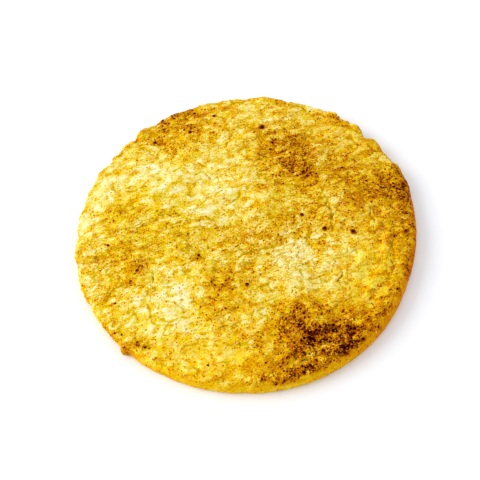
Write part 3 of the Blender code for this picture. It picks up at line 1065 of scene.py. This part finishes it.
def grainPiece(name, settings):
    sizes = settings["sizes"]
    kinds = {label: "NodeSocketInt" if label == "Seed" else "NodeSocketFloat" for label in sizes}
    tree, given = newTree(name, kinds)
    seed = given.other("Seed")
    upperShare = 1 - named(given, "base").rise(*scatter["bareBase"])
    upperShare *= 1 - named(given, "wall") * scatter["bareWall"]
    wanted = given.other("Anywhere") + named(given, "browned") * given.other("On Browned")
    wanted += named(given, "pale") * given.other("On Pale")
    density = wanted * upperShare * (1 / mm**2)
    sockets = {"Mesh": given.other("Geometry"), "Density": density, "Seed": seed}
    places = given.add("GeometryNodeDistributePointsOnFaces", sockets)
    if settings["edges"]:
        shape = given.add("GeometryNodeMeshCube", {"Size": [scatter["cubeSide"]] * 3})
    else:
        shape = given.add("GeometryNodeMeshIcoSphere", {"Radius": 1.0, "Subdivisions": 1})
    size = draws(given, "FLOAT", given.other("Smallest"), given.other("Largest"), seed + 1)
    least, most = ([share] * 3 for share in scatter["unevenness"])
    unevenness = draws(given, "FLOAT_VECTOR", least, most, seed + 2)
    scale = unevenness.scaled(size * mm)
    sunk = places.other("Normal").scaled(size * given.other("Sunk") * -mm)
    places = given.add("GeometryNodeSetPosition", {"Geometry": places, "Offset": sunk})
    turn = draws(given, "FLOAT_VECTOR", (0, 0, 0), (tau, tau, tau), seed + 3)
    sockets = {"Points": places, "Instance": shape, "Rotation": turn, "Scale": scale}
    placed = given.add("GeometryNodeInstanceOnPoints", sockets)
    endTree(given, placed, grainMaterial(name, settings))
    piece = putInScene(name, cookie.data.copy())
    piece.data = useTree(piece, tree, sizes)
    piece.data.name = name
    planMap(piece.data)
    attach(piece, "root")
    print(name, "scattered:", len(piece.data.polygons), "faces")


# unrolls a piece by its place in plan
def planMap(data):
    spots = np.zeros(len(data.vertices) * 3, dtype=np.float32)
    data.vertices.foreach_get("co", spots)
    plan = spots.reshape(-1, 3)[:, :2] / mm
    planSide = 2.1 * form["meanRadius"]
    while data.uv_layers:
        data.uv_layers.remove(data.uv_layers[0])
    layer = data.uv_layers.new(name="OFBake")
    layer.data.foreach_set("uv", (0.5 + plan / planSide)[cornerPoints(data)].ravel())


for name, settings in grains.items():
    grainPiece(name, settings)


# The few burnt specks that stand out: column, row and radius

burntSpecks = {
    "places": (
        (262, 127, 0.54), (302, 214, 0.32), (324.5, 228.5, 0.42), (353, 231.5, 0.46), (247, 284, 0.26),
        (198.6, 255, 0.24), (108, 245, 0.22), (137, 270, 0.26), (121.5, 334.6, 0.10), (363, 338, 0.42),
        (214, 116, 0.26), (190, 132, 0.34), (155, 142, 0.32), (303, 172, 0.36), (406, 230, 0.34),
        (403, 186, 0.34), (145, 347, 0.18), (137, 342, 0.10), (115, 303.5, 0.14), (304, 372, 0.40),
        (345, 352, 0.40), (208, 365, 0.12),
    ),
    "colours": ((34, 4, 3), (70, 18, 5)),
    "onBrowned": (34, 4, 3),
    "ringColour": (158, 66, 2),
    "ringWidth": 0.17,
    "ringShare": 0.55,  # how far out of the middle the ring starts
    "flatness": 0.6,
    "roundness": 3,  # subdivisions
    "unevenness": 0.3,
    "lumpsPerRadius": 1.5,
    "sliceStep": 7,  # how far apart the specks take their lumps from the noise
    "ringSharpness": 3,
    "castFrom": 20,  # height above the floor from which each speck drops onto the crust
}


def burntPiece():
    crustTree = BVHTree.FromPolygons([point.co for point in cookie.data.vertices],
                                     [face.vertices for face in cookie.data.polygons])
    shape = bmesh.new()
    scorched = shape.verts.layers.float.new("scorched")
    for number, (column, row, radius) in enumerate(burntSpecks["places"]):
        x, y = onCrust(column, row)
        above = Vector((x, y, burntSpecks["castFrom"])) * mm
        onTop = crustTree.ray_cast(above, Vector((0, 0, -1)))[0]
        whole = (radius + burntSpecks["ringWidth"]) * mm
        made = bmesh.ops.create_icosphere(shape, subdivisions=burntSpecks["roundness"], radius=whole)
        for corner in made["verts"]:
            toward = corner.co.normalized()
            fromRing = toward.xy.length - burntSpecks["ringShare"]
            corner[scorched] = smoothStep(fromRing * burntSpecks["ringSharpness"])
            lumpPlace = toward * burntSpecks["lumpsPerRadius"]
            lumpPlace += Vector((burntSpecks["sliceStep"] * number, 0, 0))
            unevenness = noise.noise(lumpPlace)
            corner.co *= 1 + burntSpecks["unevenness"] * unevenness
            corner.co.z *= burntSpecks["flatness"]
            corner.co += onTop
    data = bpy.data.meshes.new("burntSpecks")
    shape.to_mesh(data)
    shape.free()
    data.shade_smooth()
    data.materials.append(grainMaterial("burntSpecks", burntSpecks, burntSpecks["ringColour"]))
    planMap(data)
    piece = putInScene("burntSpecks", data)
    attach(piece, "root")
    print("burnt specks placed:", len(data.polygons), "faces")


burntPiece()


# Pale floor and soft light from the left

studio = {
    "floorSide": 3000,
    "floorColour": (0.91, 0.925, 0.955),  # shares, as the shader takes them
    "floorRoughness": 0.9,
    "sunStrength": 2.5,
    "sunSpread": 50,
    "sunTowards": (0.89, -0.03, -0.42),  # the way the light travels
    "skyStrength": 0.89,
}


def makeStudio():
    half = studio["floorSide"] / 2 * mm
    floorData = bpy.data.meshes.new("floor")
    floorData.from_pydata([(-half, -half, 0), (half, -half, 0), (half, half, 0), (-half, half, 0)], [],
                          [(0, 1, 2, 3)])
    floor = putInScene("floor", floorData)
    material, shader = matteMaterial("whitePaper", studio["floorRoughness"], 0.0)[:2]
    shader.inputs["Base Color"].default_value = (*studio["floorColour"], 1)
    floorData.materials.append(material)
    lamp = bpy.data.lights.new("softLight", "SUN")
    lamp.energy = studio["sunStrength"]
    lamp.angle = radians(studio["sunSpread"])
    light = putInScene("softLight", lamp)
    light.rotation_euler = Vector(studio["sunTowards"]).to_track_quat("-Z", "Y").to_euler()
    world = bpy.data.worlds.new("paleRoom")
    world.use_nodes = True
    sky = world.node_tree.nodes["Background"]
    sky.inputs["Color"].default_value = (1, 1, 1, 1)
    sky.inputs["Strength"].default_value = studio["skyStrength"]
    bpy.context.scene.world = world
    bpy.context.scene.view_settings.view_transform = "Standard"


makeStudio()
print("floor and light placed")
